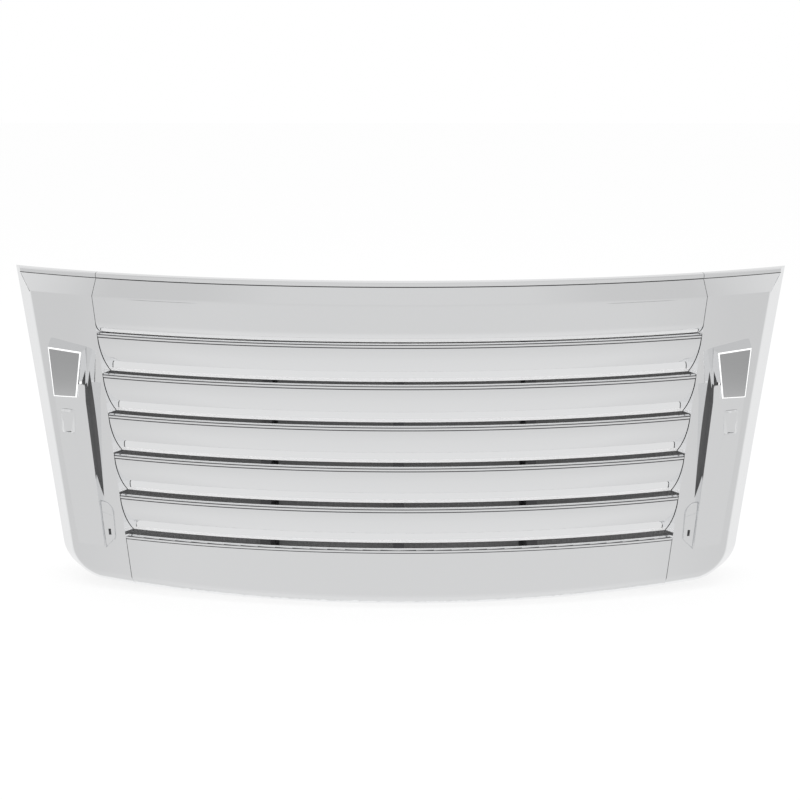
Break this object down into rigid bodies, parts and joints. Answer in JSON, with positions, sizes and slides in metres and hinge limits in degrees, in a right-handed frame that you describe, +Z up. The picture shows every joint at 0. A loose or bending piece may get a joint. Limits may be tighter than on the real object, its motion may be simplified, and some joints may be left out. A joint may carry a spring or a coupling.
{
  "type": "front grille",
  "caption": "Curved chrome front grille of a medium-duty truck with horizontal louvres, side pods, intake screens and a rear bolt-on frame.",
  "frame": {"origin": "centre of the four-bolt mounting pattern on the plane of the bracket feet behind the grille", "axes": "+X to the right as seen from the front, +Y to the rear along the mounting bolts, +Z up"},
  "size_m": [1.1796, 0.2597, 0.466],
  "materials": {
    "chrome_plate": "bright plated plastic shell",
    "chrome_plug": "bright plated plastic",
    "black_mesh": "coated screen mesh, shown in the solids as a thin sheet",
    "black_frame": "moulded black",
    "black_structure": "satin black coating",
    "zinc_steel": "zinc-plated pressed steel",
    "spring_steel": "bright spring steel",
    "zinc_fasteners": "zinc plated"
  },
  "bodies": {
    "root": {"bottom_rail": "black_structure", "bracket_bolts": "zinc_fasteners", "bracket_nuts": "zinc_fasteners", "bug_screen": "black_mesh", "bug_screen_frame": "black_frame", "frame_screws": "zinc_fasteners", "header_panel": "chrome_plate", "intake_end_cap_left": "chrome_plate", "intake_end_cap_right": "chrome_plate", "intake_screen_left": "black_mesh", "intake_screen_right": "black_mesh", "intake_screws": "zinc_fasteners", "louvre_blade_1": "chrome_plate", "louvre_blade_2": "chrome_plate", "louvre_blade_3": "chrome_plate", "louvre_blade_4": "chrome_plate", "louvre_blade_5": "chrome_plate", "mounting_bracket_lower_left": "zinc_steel", "mounting_bracket_lower_right": "zinc_steel", "mounting_bracket_upper_left": "zinc_steel", "mounting_bracket_upper_right": "zinc_steel", "panel_screws": "zinc_fasteners", "pod_plug_left": "chrome_plug", "pod_plug_right": "chrome_plug", "rail_screws": "zinc_fasteners", "screen_clips": "spring_steel", "seam_screws": "zinc_fasteners", "side_panel_left": "chrome_plate", "side_panel_right": "chrome_plate", "side_upright_left": "black_structure", "side_upright_right": "black_structure", "skirt_panel": "chrome_plate", "tie_bar_centre": "black_structure", "tie_bar_left": "black_structure", "tie_bar_right": "black_structure", "tie_bar_screws": "zinc_fasteners", "top_rail": "black_structure"}
  },
  "joints": []
}
